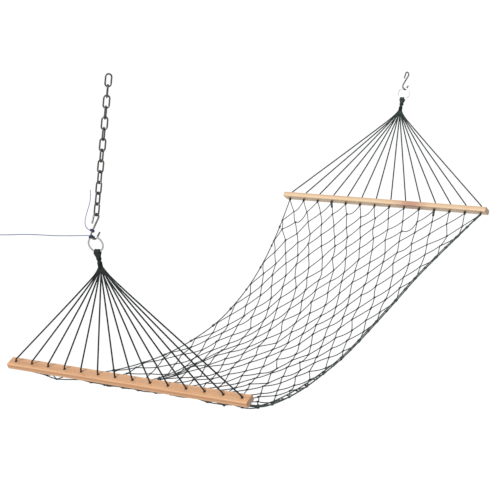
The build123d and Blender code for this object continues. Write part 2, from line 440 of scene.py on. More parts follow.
# ---------------------------------------------------------------- shader nodes
class Graph:
    """Short way to add and join the nodes of one tree."""

    def __init__(self, tree: bpy.types.NodeTree) -> None:
        """Works on a node tree."""
        self.tree = tree

    def add(self, kind: str, **settings: object) -> bpy.types.Node:
        """Adds a node and sets its properties.

        Args:
            kind: The node's type, without its ShaderNode prefix.
            settings: Properties of the node.

        Returns:
            The node.
        """
        node = self.tree.nodes.new("ShaderNode" + kind)
        for key, value in settings.items():
            setattr(node, key, value)
        return node

    def join(self, source: bpy.types.NodeSocket, target: bpy.types.NodeSocket) -> None:
        """Joins two sockets."""
        self.tree.links.new(source, target)

    def put(self, value: object, socket: bpy.types.NodeSocket) -> None:
        """Joins a socket to an input, or sets the input to a value."""
        if isinstance(value, bpy.types.NodeSocket):
            self.join(value, socket)
        else:
            socket.default_value = value

    def feed(self, node: bpy.types.Node, **values: object) -> bpy.types.Node:
        """Sets or joins a node's inputs by name, with spaces written as underscores."""
        for key, value in values.items():
            self.put(value, node.inputs[key.replace("_", " ")])
        return node

    def calc(self, operation: str, first: object, second: object = 0.0) -> bpy.types.NodeSocket:
        """Result of a maths node on sockets or numbers."""
        node = self.add("Math", operation=operation)
        for socket, value in zip(node.inputs, (first, second)):
            self.put(value, socket)
        return node.outputs[0]

    def scaled(
        self, value: bpy.types.NodeSocket, factor: float, base: float
    ) -> bpy.types.NodeSocket:
        """Value times a factor, plus a base."""
        result = self.calc("MULTIPLY_ADD", value, factor)
        result.node.inputs[2].default_value = base
        return result

    def from_point(self, place: bpy.types.NodeSocket, point: Array) -> bpy.types.NodeSocket:
        """Place measured from a point."""
        node = self.add("VectorMath", operation="SUBTRACT")
        self.join(place, node.inputs[0])
        node.inputs[1].default_value = point
        return node.outputs[0]

    def ramp(self, value: bpy.types.NodeSocket, low: float, high: float) -> bpy.types.NodeSocket:
        """Smooth step of a value from low to high."""
        node = self.add("MapRange", interpolation_type="SMOOTHSTEP")
        self.feed(node, Value=value, From_Min=low, From_Max=high)
        return node.outputs["Result"]

    def mix(
        self, share: bpy.types.NodeSocket, first: object, second: object
    ) -> bpy.types.NodeSocket:
        """Mix of two colours, as sockets or values."""
        node = self.add("Mix", data_type="RGBA")
        self.join(share, node.inputs["Factor"])
        for socket, value in ((node.inputs[6], first), (node.inputs[7], second)):
            self.put((*value, 1.0) if isinstance(value, tuple) else value, socket)
        return node.outputs[2]

    def noise(
        self, place: bpy.types.NodeSocket, scale: float, detail: float = 3.0
    ) -> bpy.types.NodeSocket:
        """Noise at a place."""
        node = self.add("TexNoise")
        self.feed(node, Vector=place, Scale=scale, Detail=detail)
        return node.outputs["Fac"]

    def stretched(self, place: object, scale: Place) -> bpy.types.NodeSocket:
        """Place multiplied by a scale along each axis."""
        node = self.add("VectorMath", operation="MULTIPLY")
        self.join(place, node.inputs[0])
        node.inputs[1].default_value = scale
        return node.outputs[0]


@dataclass(frozen=True)
class Socket:
    """One named input or output of a node group."""

    name: str
    kind: str = "Float"
    value: float = 0.0


class Effect:
    """A shader node group that several finishes use, built once."""

    built: dict[str, bpy.types.NodeTree] = {}

    def __init__(self, name: str, inputs: list[Socket], outputs: list[Socket]) -> None:
        """Makes the group's tree, its named sockets and its ends."""
        self.tree = bpy.data.node_groups.new(name, "ShaderNodeTree")
        for side, sockets in (("INPUT", inputs), ("OUTPUT", outputs)):
            for socket in sockets:
                kind = "NodeSocket" + socket.kind
                made = self.tree.interface.new_socket(socket.name, in_out=side, socket_type=kind)
                if socket.kind == "Float" and side == "INPUT":
                    made.default_value = socket.value
        self.graph = Graph(self.tree)
        self.start = self.tree.nodes.new("NodeGroupInput")
        self.end = self.tree.nodes.new("NodeGroupOutput")
        Effect.built[name] = self.tree


def fibre_effect() -> None:
    """Group for cord: fibres that run with the strands, and shade in the grooves."""
    inputs = [Socket("Fibre", "Vector"), Socket("Groove"), Socket("Fineness", value=900.0)]
    effect = Effect("fibres", inputs, [Socket("Tone"), Socket("Height")])
    graph = effect.graph
    drawn = graph.stretched(effect.start.outputs["Fibre"], (1.0, 1.0, 0.16))
    fine = graph.add("TexNoise")
    graph.feed(fine, Vector=drawn, Scale=effect.start.outputs["Fineness"], Detail=3.0)
    strand = fine.outputs["Fac"]
    # Painted shade: the colour is darkened in the grooves between the strands.
    groove_shade = graph.calc("MULTIPLY", effect.start.outputs["Groove"], 0.75)
    raised = graph.calc("SUBTRACT", strand, groove_shade)
    graph.feed(effect.end, Tone=graph.ramp(raised, -0.5, 0.75), Height=strand)


def grain_effect() -> None:
    """Group for timber that runs along Y: growth bands, fine pores and flecks."""
    inputs = [Socket("Place", "Vector"), Socket("Bands", value=26.0), Socket("Waviness", value=1.4)]
    effect = Effect("grain", inputs, [Socket("Band"), Socket("Pore"), Socket("Blotch")])
    graph = effect.graph
    place = effect.start.outputs["Place"]
    drawn = graph.stretched(place, (1.0, 0.045, 1.0))
    wave = graph.add("TexWave", wave_type="RINGS", rings_direction="Y")
    graph.feed(wave, Vector=drawn, Scale=effect.start.outputs["Bands"], Detail=3.0)
    graph.join(effect.start.outputs["Waviness"], wave.inputs["Distortion"])
    pore = graph.noise(graph.stretched(place, (1.0, 0.02, 1.0)), 1400.0, 4.0)
    blotch = graph.noise(graph.stretched(place, (1.0, 0.22, 1.0)), 38.0)
    graph.feed(effect.end, Band=wave.outputs["Fac"], Pore=pore, Blotch=blotch)


def wear_effect() -> None:
    """Group for handling marks: patches where a coating or varnish has worn."""
    inputs = [Socket("Place", "Vector"), Socket("Size", value=60.0), Socket("Share", value=0.5)]
    effect = Effect("wear", inputs, [Socket("Mask"), Socket("Scratch")])
    graph = effect.graph
    place = effect.start.outputs["Place"]
    patch = graph.add("TexNoise")
    graph.feed(patch, Vector=place, Scale=effect.start.outputs["Size"], Detail=5.0)
    edge = graph.calc("SUBTRACT", 1.0, effect.start.outputs["Share"])
    over = graph.calc("SUBTRACT", patch.outputs["Fac"], edge)
    scratch = graph.noise(graph.stretched(place, (1.0, 1.0, 0.3)), 900.0, 6.0)
    graph.feed(effect.end, Mask=graph.ramp(over, -0.08, 0.12), Scratch=scratch)


def dust_effect() -> None:
    """Group for outdoor dust, which lies on what faces up."""
    inputs = [Socket("Place", "Vector"), Socket("Share", value=0.3)]
    effect = Effect("dust", inputs, [Socket("Mask")])
    graph = effect.graph
    facing = graph.add("NewGeometry")
    height = graph.add("SeparateXYZ")
    graph.join(facing.outputs["Normal"], height.inputs[0])
    level = graph.ramp(height.outputs["Z"], 0.1, 0.95)
    speck = graph.ramp(graph.noise(effect.start.outputs["Place"], 240.0, 5.0), 0.42, 0.72)
    laid = graph.calc("MULTIPLY", level, speck)
    graph.feed(effect.end, Mask=graph.calc("MULTIPLY", laid, effect.start.outputs["Share"]))


class Finish:
    """Base of the finishes: a material with a Principled shader and shared effects."""

    def start(self, name: str) -> tuple[Graph, bpy.types.Node, bpy.types.NodeSocket]:
        """Makes an empty material.

        Args:
            name: The material's name.

        Returns:
            Its graph, its shader and the place in the frame that its patterns use.
        """
        material = bpy.data.materials.new(name)
        material.use_nodes = True
        graph = Graph(material.node_tree)
        material.node_tree.nodes.clear()
        output = graph.add("OutputMaterial")
        shader = graph.add("BsdfPrincipled")
        graph.join(shader.outputs["BSDF"], output.inputs["Surface"])
        place = graph.add("TexCoord").outputs["Object"]
        self.material = material
        return graph, shader, place

    @staticmethod
    def effect(graph: Graph, name: str, **values: object) -> bpy.types.Node:
        """Places a shared effect in a material with its own values."""
        node = graph.add("Group")
        node.node_tree = Effect.built[name]
        return graph.feed(node, **values)

    @staticmethod
    def bump(graph: Graph, shader: bpy.types.Node, height: object, depth: float) -> None:
        """Joins a height to the shader's normal, with its depth in metres."""
        node = graph.add("Bump")
        graph.feed(node, Height=height, Distance=depth, Strength=1.0)
        graph.join(node.outputs["Normal"], shader.inputs["Normal"])


@dataclass
class CordFinish(Finish):
    """Twisted cord: dark in the grooves as painted shade, paler on the crowns of the strands."""

    name: str
    dark: Colour
    light: Colour
    dust: Colour = (0.16, 0.16, 0.15)
    dust_share: float = 0.12
    fineness: float = 900.0
    roughness: float = 0.72
    gloss: float = 0.12
    fade: float = 0.2
    depth: float = 0.0003

    def build(self) -> bpy.types.Material:
        """Makes the material."""
        graph, shader, place = self.start(self.name)
        fibre = graph.add("Attribute", attribute_name="fibre").outputs["Vector"]
        groove = graph.add("Attribute", attribute_name="groove").outputs["Fac"]
        yarn = self.effect(graph, "fibres", Fibre=fibre, Groove=groove, Fineness=self.fineness)
        dust = self.effect(graph, "dust", Place=place, Share=self.dust_share)
        wear = self.effect(graph, "wear", Place=place, Size=22.0, Share=self.fade)
        pale = tuple(0.5 * (low + high) for low, high in zip(self.light, self.dust))
        worn = graph.mix(wear.outputs["Mask"], self.light, pale)
        # The tone carries the painted shade in the grooves, so the dark colour also stands for that
        # shade.
        colour = graph.mix(yarn.outputs["Tone"], self.dark, worn)
        colour = graph.mix(dust.outputs["Mask"], colour, self.dust)
        graph.join(colour, shader.inputs["Base Color"])
        rough = graph.scaled(yarn.outputs["Height"], 0.2, self.roughness)
        graph.join(rough, shader.inputs["Roughness"])
        shader.inputs["Specular IOR Level"].default_value = self.gloss
        self.bump(graph, shader, yarn.outputs["Height"], self.depth)
        return self.material


@dataclass
class SteelFinish(Finish):
    """Plated or painted steel wire, dulled and browned where it has worn."""

    name: str
    plating: Colour
    worn: Colour
    worn_share: float = 0.35
    patch: float = 90.0
    smooth: float = 0.28
    dull: float = 0.55
    dust: Colour = (0.36, 0.34, 0.31)
    dust_share: float = 0.25
    dust_cover: float = 0.8
    scratch_depth: float = 0.00008

    def build(self) -> bpy.types.Material:
        """Makes the material."""
        graph, shader, place = self.start(self.name)
        wear = self.effect(graph, "wear", Place=place, Size=self.patch, Share=self.worn_share)
        dust = self.effect(graph, "dust", Place=place, Share=self.dust_share)
        colour = graph.mix(wear.outputs["Mask"], self.plating, self.worn)
        colour = graph.mix(dust.outputs["Mask"], colour, self.dust)
        graph.join(colour, shader.inputs["Base Color"])
        rough = graph.scaled(wear.outputs["Mask"], self.dull - self.smooth, self.smooth)
        graph.join(rough, shader.inputs["Roughness"])
        metal = graph.scaled(dust.outputs["Mask"], -self.dust_cover, 1.0)
        graph.join(metal, shader.inputs["Metallic"])
        self.bump(graph, shader, wear.outputs["Scratch"], self.scratch_depth)
        return self.material


@dataclass
class TimberFinish(Finish):
    """Varnished board, with end grain at both ends and, if it has one, a branch knot."""

    name: str
    pale: Colour
    band: Colour
    pore: Colour
    bar: str
    knot_at: float | None = None
    knot_half: float = 0.045
    knot_colour: Colour = (0.26, 0.115, 0.060)
    end_colour: Colour = (0.20, 0.105, 0.060)
    end_share: float = 0.75
    end_reach: Pair = (0.0032, 0.0008)
    heart: Place = (0.02, 0.0, -0.03)
    dust: Colour = (0.62, 0.58, 0.52)
    varnish: float = 0.25
    smooth: float = 0.38
    dulling: float = 0.22
    pore_depth: float = 0.00015

    def build(self) -> bpy.types.Material:
        """Makes the material."""
        graph, shader, place = self.start(self.name)
        heart = middle_of(self.bar) + np.array(self.heart)
        grain = self.effect(graph, "grain", Place=graph.from_point(place, heart))
        wear = self.effect(graph, "wear", Place=place, Size=14.0, Share=0.42)
        dust = self.effect(graph, "dust", Place=place, Share=0.12)
        banded = graph.ramp(grain.outputs["Band"], 0.15, 0.95)
        colour = graph.mix(banded, self.pale, self.band)
        blotch = graph.ramp(grain.outputs["Blotch"], 0.35, 0.85)
        colour = graph.mix(graph.calc("MULTIPLY", blotch, 0.5), colour, self.band)
        pored = graph.calc("MULTIPLY", graph.ramp(grain.outputs["Pore"], 0.56, 0.74), 0.45)
        colour = graph.mix(pored, colour, self.pore)
        if self.knot_at is not None:
            colour = graph.mix(self._branch_knot(graph, place), colour, self.knot_colour)
        colour = graph.mix(self._end_grain(graph, place), colour, self.end_colour)
        colour = graph.mix(dust.outputs["Mask"], colour, self.dust)
        graph.join(colour, shader.inputs["Base Color"])
        rough = graph.scaled(wear.outputs["Mask"], self.dulling, self.smooth)
        graph.join(rough, shader.inputs["Roughness"])
        shader.inputs["Coat Weight"].default_value = self.varnish
        shader.inputs["Coat Roughness"].default_value = 0.3
        self.bump(graph, shader, grain.outputs["Pore"], self.pore_depth)
        return self.material

    def _branch_knot(self, graph: Graph, place: object) -> bpy.types.NodeSocket:
        """Mask of a branch knot, with a wobbly edge."""
        centre = middle_of(self.bar)
        heart = np.array([centre[0] - 0.012, self.knot_at, centre[2]])
        flat = graph.stretched(graph.from_point(place, heart), (1.0, 0.45, 1.0))
        far = graph.add("VectorMath", operation="LENGTH")
        graph.join(flat, far.inputs[0])
        wobble = graph.calc("MULTIPLY", graph.noise(place, 60.0), 0.016)
        spread = graph.calc("ADD", far.outputs["Value"], wobble)
        return graph.calc("SUBTRACT", 1.0, graph.ramp(spread, 0.012, self.knot_half))

    def _end_grain(self, graph: Graph, place: object) -> bpy.types.NodeSocket:
        """Mask of the two sawn ends."""
        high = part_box(self.bar)[1]
        parts = graph.add("SeparateXYZ")
        graph.join(place, parts.inputs[0])
        out = graph.calc("ABSOLUTE", parts.outputs["Y"])
        start, full = (high[1] - reach for reach in self.end_reach)
        return graph.calc("MULTIPLY", graph.ramp(out, start, full), self.end_share)


@dataclass
class FloorFinish(Finish):
    """Matt pale floor."""

    name: str
    colour: Colour

    def build(self) -> bpy.types.Material:
        """Makes the material."""
        graph, shader, place = self.start(self.name)
        cloud = graph.ramp(graph.noise(place, 0.6), 0.2, 0.8)
        soft = tuple(0.985 * part for part in self.colour)
        graph.join(graph.mix(cloud, self.colour, soft), shader.inputs["Base Color"])
        shader.inputs["Roughness"].default_value = 0.9
        shader.inputs["Specular IOR Level"].default_value = 0.0
        return self.material


class Palette:
    """Every finish of the hammock, made once."""

    def __init__(self) -> None:
        """Gives every finish its colours."""
        self.near_rope = CordFinish("near_rope", (0.006, 0.008, 0.009), (0.028, 0.033, 0.034))
        self.far_rope = CordFinish("far_rope", (0.006, 0.011, 0.009), (0.034, 0.050, 0.043))
        self.whipping = CordFinish("whipping", (0.003, 0.008, 0.006), (0.014, 0.026, 0.021))
        self.net = CordFinish("net_twine", (0.010, 0.011, 0.011), (0.058, 0.062, 0.062))
        self.edge = CordFinish("net_edge", (0.011, 0.016, 0.015), (0.080, 0.104, 0.100))
        self.guy = CordFinish("guy_twine", (0.09, 0.11, 0.22), (0.20, 0.24, 0.42))
        # Darker copy of the guy twine for its hitches: painted shade in the wound turns.
        self.guy_knot_shaded = CordFinish("guy_knot_shaded", (0.012, 0.011, 0.050), (0.050, 0.048, 0.15))
        self.chain = SteelFinish("chain_steel", (0.085, 0.080, 0.078), (0.060, 0.040, 0.032))
        self.hook = SteelFinish("hook_steel", (0.16, 0.155, 0.15), (0.075, 0.060, 0.050))
        self.ring = SteelFinish("ring_steel", (0.42, 0.42, 0.41), (0.27, 0.25, 0.235), 0.25)
        self.near_bar = TimberFinish(
            "near_bar_wood",
            (0.43, 0.232, 0.108),
            (0.34, 0.158, 0.064),
            (0.22, 0.088, 0.034),
            "near_bar",
        )
        self.far_bar = TimberFinish(
            "far_bar_wood",
            (0.44, 0.315, 0.185),
            (0.38, 0.240, 0.125),
            (0.27, 0.150, 0.070),
            "far_bar",
            knot_at=-0.119,
        )

    def build(self) -> None:
        """Makes the shared effects, then every material."""
        for effect in (fibre_effect, grain_effect, wear_effect, dust_effect):
            effect()
        for finish in vars(self).values():
            finish.build()


# ---------------------------------------------------------------- metal and wood
@dataclass
class Hardware:
    """Chain, S-hooks, rings and spreader bars, which keep their CAD shapes."""

    palette: Palette
    links: int = 13

    def build(self) -> None:
        """Dresses each CAD node in its finish."""
        for number in range(1, self.links + 1):
            self._dress(f"chain_link_{number:02d}", self.palette.chain)
        for end in End:
            self._dress(f"{end.value}_s_hook", self.palette.hook)
            self._dress(f"{end.value}_ring", self.palette.ring)
        self._dress("near_bar", self.palette.near_bar)
        self._dress("far_bar", self.palette.far_bar)

    @staticmethod
    def _dress(node: str, finish: Finish) -> None:
        """Gives a CAD node one finish."""
        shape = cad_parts[node]
        if not shape.material_slots:
            shape.data.materials.append(finish.material)
        for slot in shape.material_slots:
            slot.material = finish.material
        LOG.info("%s: finish %s", node, finish.material.name)


# ---------------------------------------------------------------- fan of cords
@dataclass
class Fan:
    """One end's fourteen harness cords with their stop knots, and the clew that holds them."""

    end: End
    body: str
    rope: CordFinish
    whipping: CordFinish
    fan_lean: float
    bar_lean: float
    cords: int = 14
    hole_pitch: float = 0.058
    mouth_rise: float = 0.014
    clew_length: float = 0.073
    fan_height: float = 0.340
    root: float = 0.060
    knot_drop: float = 0.0147
    lead: float = 0.014
    in_neck: float = 0.012
    bundle_half: float = 0.0062
    layer_gap: float = 0.0024
    stop_knot_size: Place = (0.0036, 0.0035, 0.0016)
    cord: Lay = Lay(0.00240, groove=0.16, pitch=0.018)
    knot_cord: Lay = Lay(0.0022, groove=0.16, pitch=0.020)
    loop_cord: Lay = Lay(0.0019, groove=0.16, pitch=0.016, per_strand=3)
    twine: Lay = Lay(0.00085, strands=2, per_strand=3, pitch=0.014)
    ring_radius: float = 0.0211
    ring_facing: float = 8.0
    loops: int = 7
    loop_spread: float = 6.0
    loop_radius: float = 0.0046
    loop_below: float = 0.013
    loop_layer: float = 0.0036
    loop_turn: float = 22.0
    neck_ring: float = 0.0034
    neck_shoulder: float = 0.046
    whipping_radius: float = 0.0061
    whipping_length: float = 0.0175
    whipping_lift: float = 0.0040
    whipping_knot_size: Place = (0.0022, 0.0017, 0.0008)
    seed: int = 7

    def __post_init__(self) -> None:
        """Reads the fan's line from the CAD bar and ring."""
        self.slot = f"{self.end.value}_rope"
        self.bar_centre = middle_of(f"{self.end.value}_bar")
        self.ring_centre = middle_of(f"{self.end.value}_ring")
        self.up = leaning(self.fan_lean)
        self.bar_up = leaning(self.bar_lean)
        self.apex = self.ring_centre - self.up * self.clew_length
        self.foot = self.apex - self.up * self.fan_height
        self.out = np.cross(ALONG_BAR, self.up)
        self.ring = upright_axes(self.ring_centre, self.up, self.ring_facing)
        self.random = np.random.default_rng(self.seed)

    def hole(self, index: int) -> Array:
        """Centre of a hole in the bar; index 0 is at the +Y end."""
        return self.bar_centre + ALONG_BAR * ((self.cords - 1) / 2 - index) * self.hole_pitch

    def knot(self, index: int) -> Array:
        """Centre of a stop knot, beyond the bar."""
        return self.hole(index) - self.bar_up * self.knot_drop

    def route(self, index: int) -> list[Array]:
        """Route of one harness cord, from inside the whipping to its stop knot."""
        mouth = self.hole(index) + self.bar_up * self.mouth_rise
        towards = unit(mouth - self.apex)
        share = 1 - 2 * index / (self.cords - 1)
        layer = self.layer_gap if index % 2 else -self.layer_gap
        bundled = ALONG_BAR * share * self.bundle_half + self.out * layer
        return [
            self.apex + self.up * self.in_neck + bundled * 0.5,
            self.apex + bundled,
            self.apex + towards * self.root + self.out * layer * 0.2,
            mouth - towards * self.lead,
            mouth,
            self.hole(index),
            self.knot(index),
        ]

    def build(self) -> None:
        """Builds the cords, their stop knots and the clew."""
        for index in range(self.cords):
            self._harness_cord(index)
        self._clew()
        self._whipping()

    def _harness_cord(self, index: int) -> None:
        """One cord, from the clew through its hole to a knot beyond the bar."""
        name = f"{self.end.value}_cord_{index + 1:02d}"
        line = smooth_route(self.route(index), steps=26)
        phase = self.random.uniform(0, TURN)
        piece = laid_piece(name + "_laid", line, self.cord, self.rope.material, phase)
        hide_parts(name)
        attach(piece, self.body)
        self._stop_knot(name, index)

    def _stop_knot(self, name: str, index: int) -> bpy.types.Object:
        """Tight overhand knot, turned by chance."""
        turn = self.random.uniform(0, TURN)
        beside = math.cos(turn) * self.out + math.sin(turn) * ALONG_BAR
        size = np.array(self.stop_knot_size) * self.random.uniform(0.95, 1.1)
        tied = overhand(self.knot(index), self.bar_up, beside, size, steps=36)
        knot = CordMesh()
        knot.add(tied, self.knot_cord, closed=True)
        piece = knot.make(name + "_stop_knot", self.rope.material)
        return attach(piece, self.body)

    def _loop_route(self, index: int) -> list[Array]:
        """Route of one cord of the clew: up the neck, over the ring and down again."""
        share = index - (self.loops - 1) / 2
        angle = math.radians(share * self.loop_spread)
        outward = (math.sin(angle), -math.cos(angle))
        wire = (self.ring_radius * outward[0], self.ring_radius * outward[1])
        points = []
        for front in (1, -1):
            around = front * math.radians(90 - share * self.loop_turn)
            beside = self.neck_ring * math.cos(around)
            out = self.neck_ring * math.sin(around)
            across = wire[0] * 0.45 + beside * 0.5
            leg = [
                self.ring.place(beside * 0.8, -self.clew_length - 0.004, out * 0.8),
                self.ring.place(beside, -self.neck_shoulder - 0.014, out),
                self.ring.place(beside, -self.neck_shoulder, out),
                self.ring.place(across, wire[1] - self.loop_below, front * self.loop_layer),
            ]
            for height, reach in ((80, 1.0), (0, 1.0), (-60, 0.8)):
                side, up = self._round_wire(wire, outward, height)
                leg.append(self.ring.place(side, up, front * self.loop_radius * reach))
            points += leg if front == 1 else leg[::-1]
        return points

    def _round_wire(self, wire: Pair, outward: Pair, angle: float) -> Pair:
        """Place beside the ring's wire, at a height from outside it (90) to inside it (-90)."""
        reach = self.loop_radius * math.sin(math.radians(angle)) * 1.15
        return wire[0] + outward[0] * reach, wire[1] + outward[1] * reach

    def _clew(self) -> None:
        """Loops of cord round the ring, gathered into the neck."""
        bundle = CordMesh()
        for index in range(self.loops):
            line = smooth_route(self._loop_route(index), steps=9)
            bundle.add(line, self.loop_cord, phase=index)
        name = f"{self.end.value}_clew"
        piece = bundle.make(name + "_loops", self.rope.material)
        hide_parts(name)
        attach(piece, self.body)

    def _whipping(self) -> None:
        """Turns of twine round the neck's foot, a few loose ones above, and the twine's knot."""
        foot = self.ring.place(0, -self.clew_length + self.whipping_lift)
        head = foot + self.up * self.whipping_length
        wound = coil(np.array([foot, head]), self.whipping_radius, 2.05 * self.twine.radius, 18)
        turns = CordMesh()
        turns.add(wound, self.twine)
        collar = np.array([head + self.up * 0.008, head + self.up * 0.013])
        turns.add(coil(collar, self.whipping_radius, 2.2 * self.twine.radius, 18), self.twine)
        tied = head + self.up * 0.0105 - ALONG_BAR * (self.whipping_radius + 0.0012)
        size = np.array(self.whipping_knot_size)
        turns.add(overhand(tied, self.up, self.out, size), self.twine, closed=True)
        name = f"{self.end.value}_whipping"
        piece = turns.make(name + "_turns", self.whipping.material)
        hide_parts(name)
        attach(piece, self.body)


# ---------------------------------------------------------------- net
@dataclass
class Net:
    """Knotted diamond net between the bars, with a corded edge on both sides."""

    near: Fan
    far: Fan
    finish: CordFinish
    edge_finish: CordFinish
    stations: tuple = (0, 267, 527, 784, 1036, 1284, 1529)
    heights: tuple = (-20, -54, -39, 15, 120, 271, 427)
    half_widths: tuple = (377, 318, 285, 265, 270, 308, 377)
    rows: int = 26
    twine: Lay = Lay(0.00170, per_strand=2, groove=0.16, pitch=0.036)
    thin_cord: Lay = Lay(0.00190, groove=0.16, pitch=0.024, per_strand=3)
    knot_twine: Lay = Lay(0.00165, strands=2, per_strand=3, groove=0.16, pitch=0.012)
    edge_cord: Lay = Lay(0.00230, groove=0.16, pitch=0.024, per_strand=3)
    second_cord: Lay = Lay(0.00190, groove=0.16, pitch=0.022, per_strand=3)
    leg_steps: int = 9
    fold_beside: float = 0.185
    fold_half: float = 0.062
    fold_along: float = 0.46
    fold_length: float = 0.19
    fold_depth: float = 0.028
    ridge_share: float = 0.45
    ridge_offset: float = 1.5
    knot_size: Place = (0.0044, 0.0027, 0.0013)
    loose_share: float = 0.16
    loose_slack: Pair = (0.009, 0.015)
    stub_columns: tuple[int, int] = (3, 10)
    calm_from: float = 0.035
    calm_to: float = 0.75
    unevenness: tuple = (0.0042, 0.0034, 0.0026)
    seed: int = 23

    def __post_init__(self) -> None:
        """Works out the place of every knot."""
        self.random = np.random.default_rng(self.seed)
        stations, heights, widths = (
            np.array(row, float) / 1000 for row in (self.stations, self.heights, self.half_widths)
        )
        fine = np.linspace(0, stations[-1], 600)
        height = natural_spline(stations, heights, fine)
        width = natural_spline(stations, widths, fine)
        start = self.near.foot
        self.spine = np.stack([start[0] + fine, np.zeros_like(fine), start[2] + height], axis=1)
        self.along = distances_along(self.spine)
        self.width = width
        self.row_at = self._row_places()
        self.knots = [self._row(row) for row in range(self.rows + 1)]

    def at(self, along: float, share: float) -> Array:
        """Point of the net's smooth surface.

        Args:
            along: Distance along its middle from the near bar.
            share: Place across it, from -1 to 1.

        Returns:
            The point.
        """
        point = points_at(self.spine, self.along, along)
        beside = share * np.interp(along, self.along, self.width)
        across = (beside - self.fold_beside) / self.fold_half
        in_length = ((along - self.fold_along) / self.fold_length) ** 2
        ridge = self.ridge_share * math.exp(-(across + self.ridge_offset) ** 2)
        trough = math.exp(-across * across) - ridge
        drop = self.fold_depth * trough * math.exp(-in_length)
        return point + ALONG_BAR * beside - UPWARDS * drop

    def _row_places(self) -> Array:
        """Distances of the rows along the net, closer where the net is wider."""
        holes = self.near.cords - 1
        half_mesh = self.width / holes
        first = float(np.interp(self.near.knot(0)[0], self.spine[:, 0], self.along))
        last = float(np.interp(self.far.knot(0)[0], self.spine[:, 0], self.along))
        leg = (last - first) / self.rows
        for _ in range(20):
            rise = np.sqrt(leg**2 - half_mesh**2)
            rows = np.concatenate([[0.0], np.cumsum(np.diff(self.along) / rise[1:])])
            reached = np.interp([first, last], self.along, rows)
            leg *= (reached[1] - reached[0]) / self.rows
        wanted = reached[0] + np.arange(self.rows + 1) * (reached[1] - reached[0]) / self.rows
        return np.interp(wanted, rows, self.along)

    def _row(self, row: int) -> list[Array]:
        """Knots of one row, from the +Y side; even rows have one more than odd ones."""
        count = self.near.cords - row % 2
        if row == 0:
            return [self.near.knot(index) for index in range(count)]
        if row == self.rows:
            return [self.far.knot(index) for index in range(count)]
        places = []
        half = (self.near.cords - 1) / 2
        for index in range(count):
            share = ((count - 1) / 2 - index) / half
            point = self.at(self.row_at[row], share)
            offset = self.random.normal(0, 1, 3) * np.array(self.unevenness)
            calm = 0.3 if abs(share) == 1 else 1.0
            places.append(point + offset * calm)
        return places

    def _tangent(self, row: int) -> Array:
        """Direction of the net's middle at a row."""
        here = self.row_at[row]
        return unit(self.at(here + 0.01, 0) - self.at(here - 0.01, 0))

    def _legs(self) -> list[tuple[int, Array, Array]]:
        """Every leg of the net as its row and its two ends."""
        legs = []
        for row in range(self.rows):
            here, there = self.knots[row], self.knots[row + 1]
            shift = (-1, 0) if len(here) > len(there) else (0, 1)
            for index, start in enumerate(here):
                for side in shift:
                    if 0 <= index + side < len(there):
                        legs.append((row, start, there[index + side]))
        return legs

    def _slack(self, row: int) -> float:
        """How far the middle of a leg hangs down, most in the loose meshes by the far bar."""
        loose = self.random.random() < self.loose_share and row >= self.rows - 2
        if loose:
            return float(self.random.uniform(*self.loose_slack))
        return float(abs(self.random.normal(0, 0.0018)))

    def build(self) -> None:
        """Builds the meshes of the net, then both edges."""
        meshes = CordMesh()
        share = np.linspace(0, 1, self.leg_steps)[:, None]
        for row, start, end in self._legs():
            aside = self.random.normal(0, 0.0012)
            hang = -UPWARDS * self._slack(row) + ALONG_BAR * aside
            line = start + (end - start) * share + 4 * share * (1 - share) * hang
            meshes.add(line, self.twine, phase=self.random.uniform(0, TURN))
        for row in range(1, self.rows):
            along = self._tangent(row)
            for centre in self.knots[row]:
                self._mesh_knot(meshes, centre, along)
        for index in self.stub_columns:
            self._stub(meshes, index)
        piece = meshes.make("net_meshes", self.finish.material)
        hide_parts("net_bed")
        self.cross_joint(piece)
        for side in Side:
            Edge(self, side).build()

    def _mesh_knot(self, meshes: CordMesh, centre: Array, along: Array) -> None:
        """One knot of the net, turned and pulled a little differently from the next."""
        turn = self.random.normal(0, 0.35)
        beside = math.cos(turn) * ALONG_BAR + math.sin(turn) * np.cross(ALONG_BAR, along)
        size = np.array(self.knot_size) * self.random.uniform(0.85, 1.15)
        meshes.add(overhand(centre, along, beside, size, steps=20), self.knot_twine, closed=True)

    def _stub(self, meshes: CordMesh, index: int) -> None:
        """Doubled and whipped start of a mesh at the far bar."""
        start = self.far.knot(index)
        towards = unit(self.knots[self.rows - 1][index] - start)
        line = start + towards * np.linspace(0.002, 0.030, 6)[:, None]
        meshes.add(coil(line, 0.0026, 0.0028, 12), self.knot_twine)

    def cross_joint(self, piece: bpy.types.Object) -> None:
        """Bakes a piece's transform into its mesh."""
        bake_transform(piece)


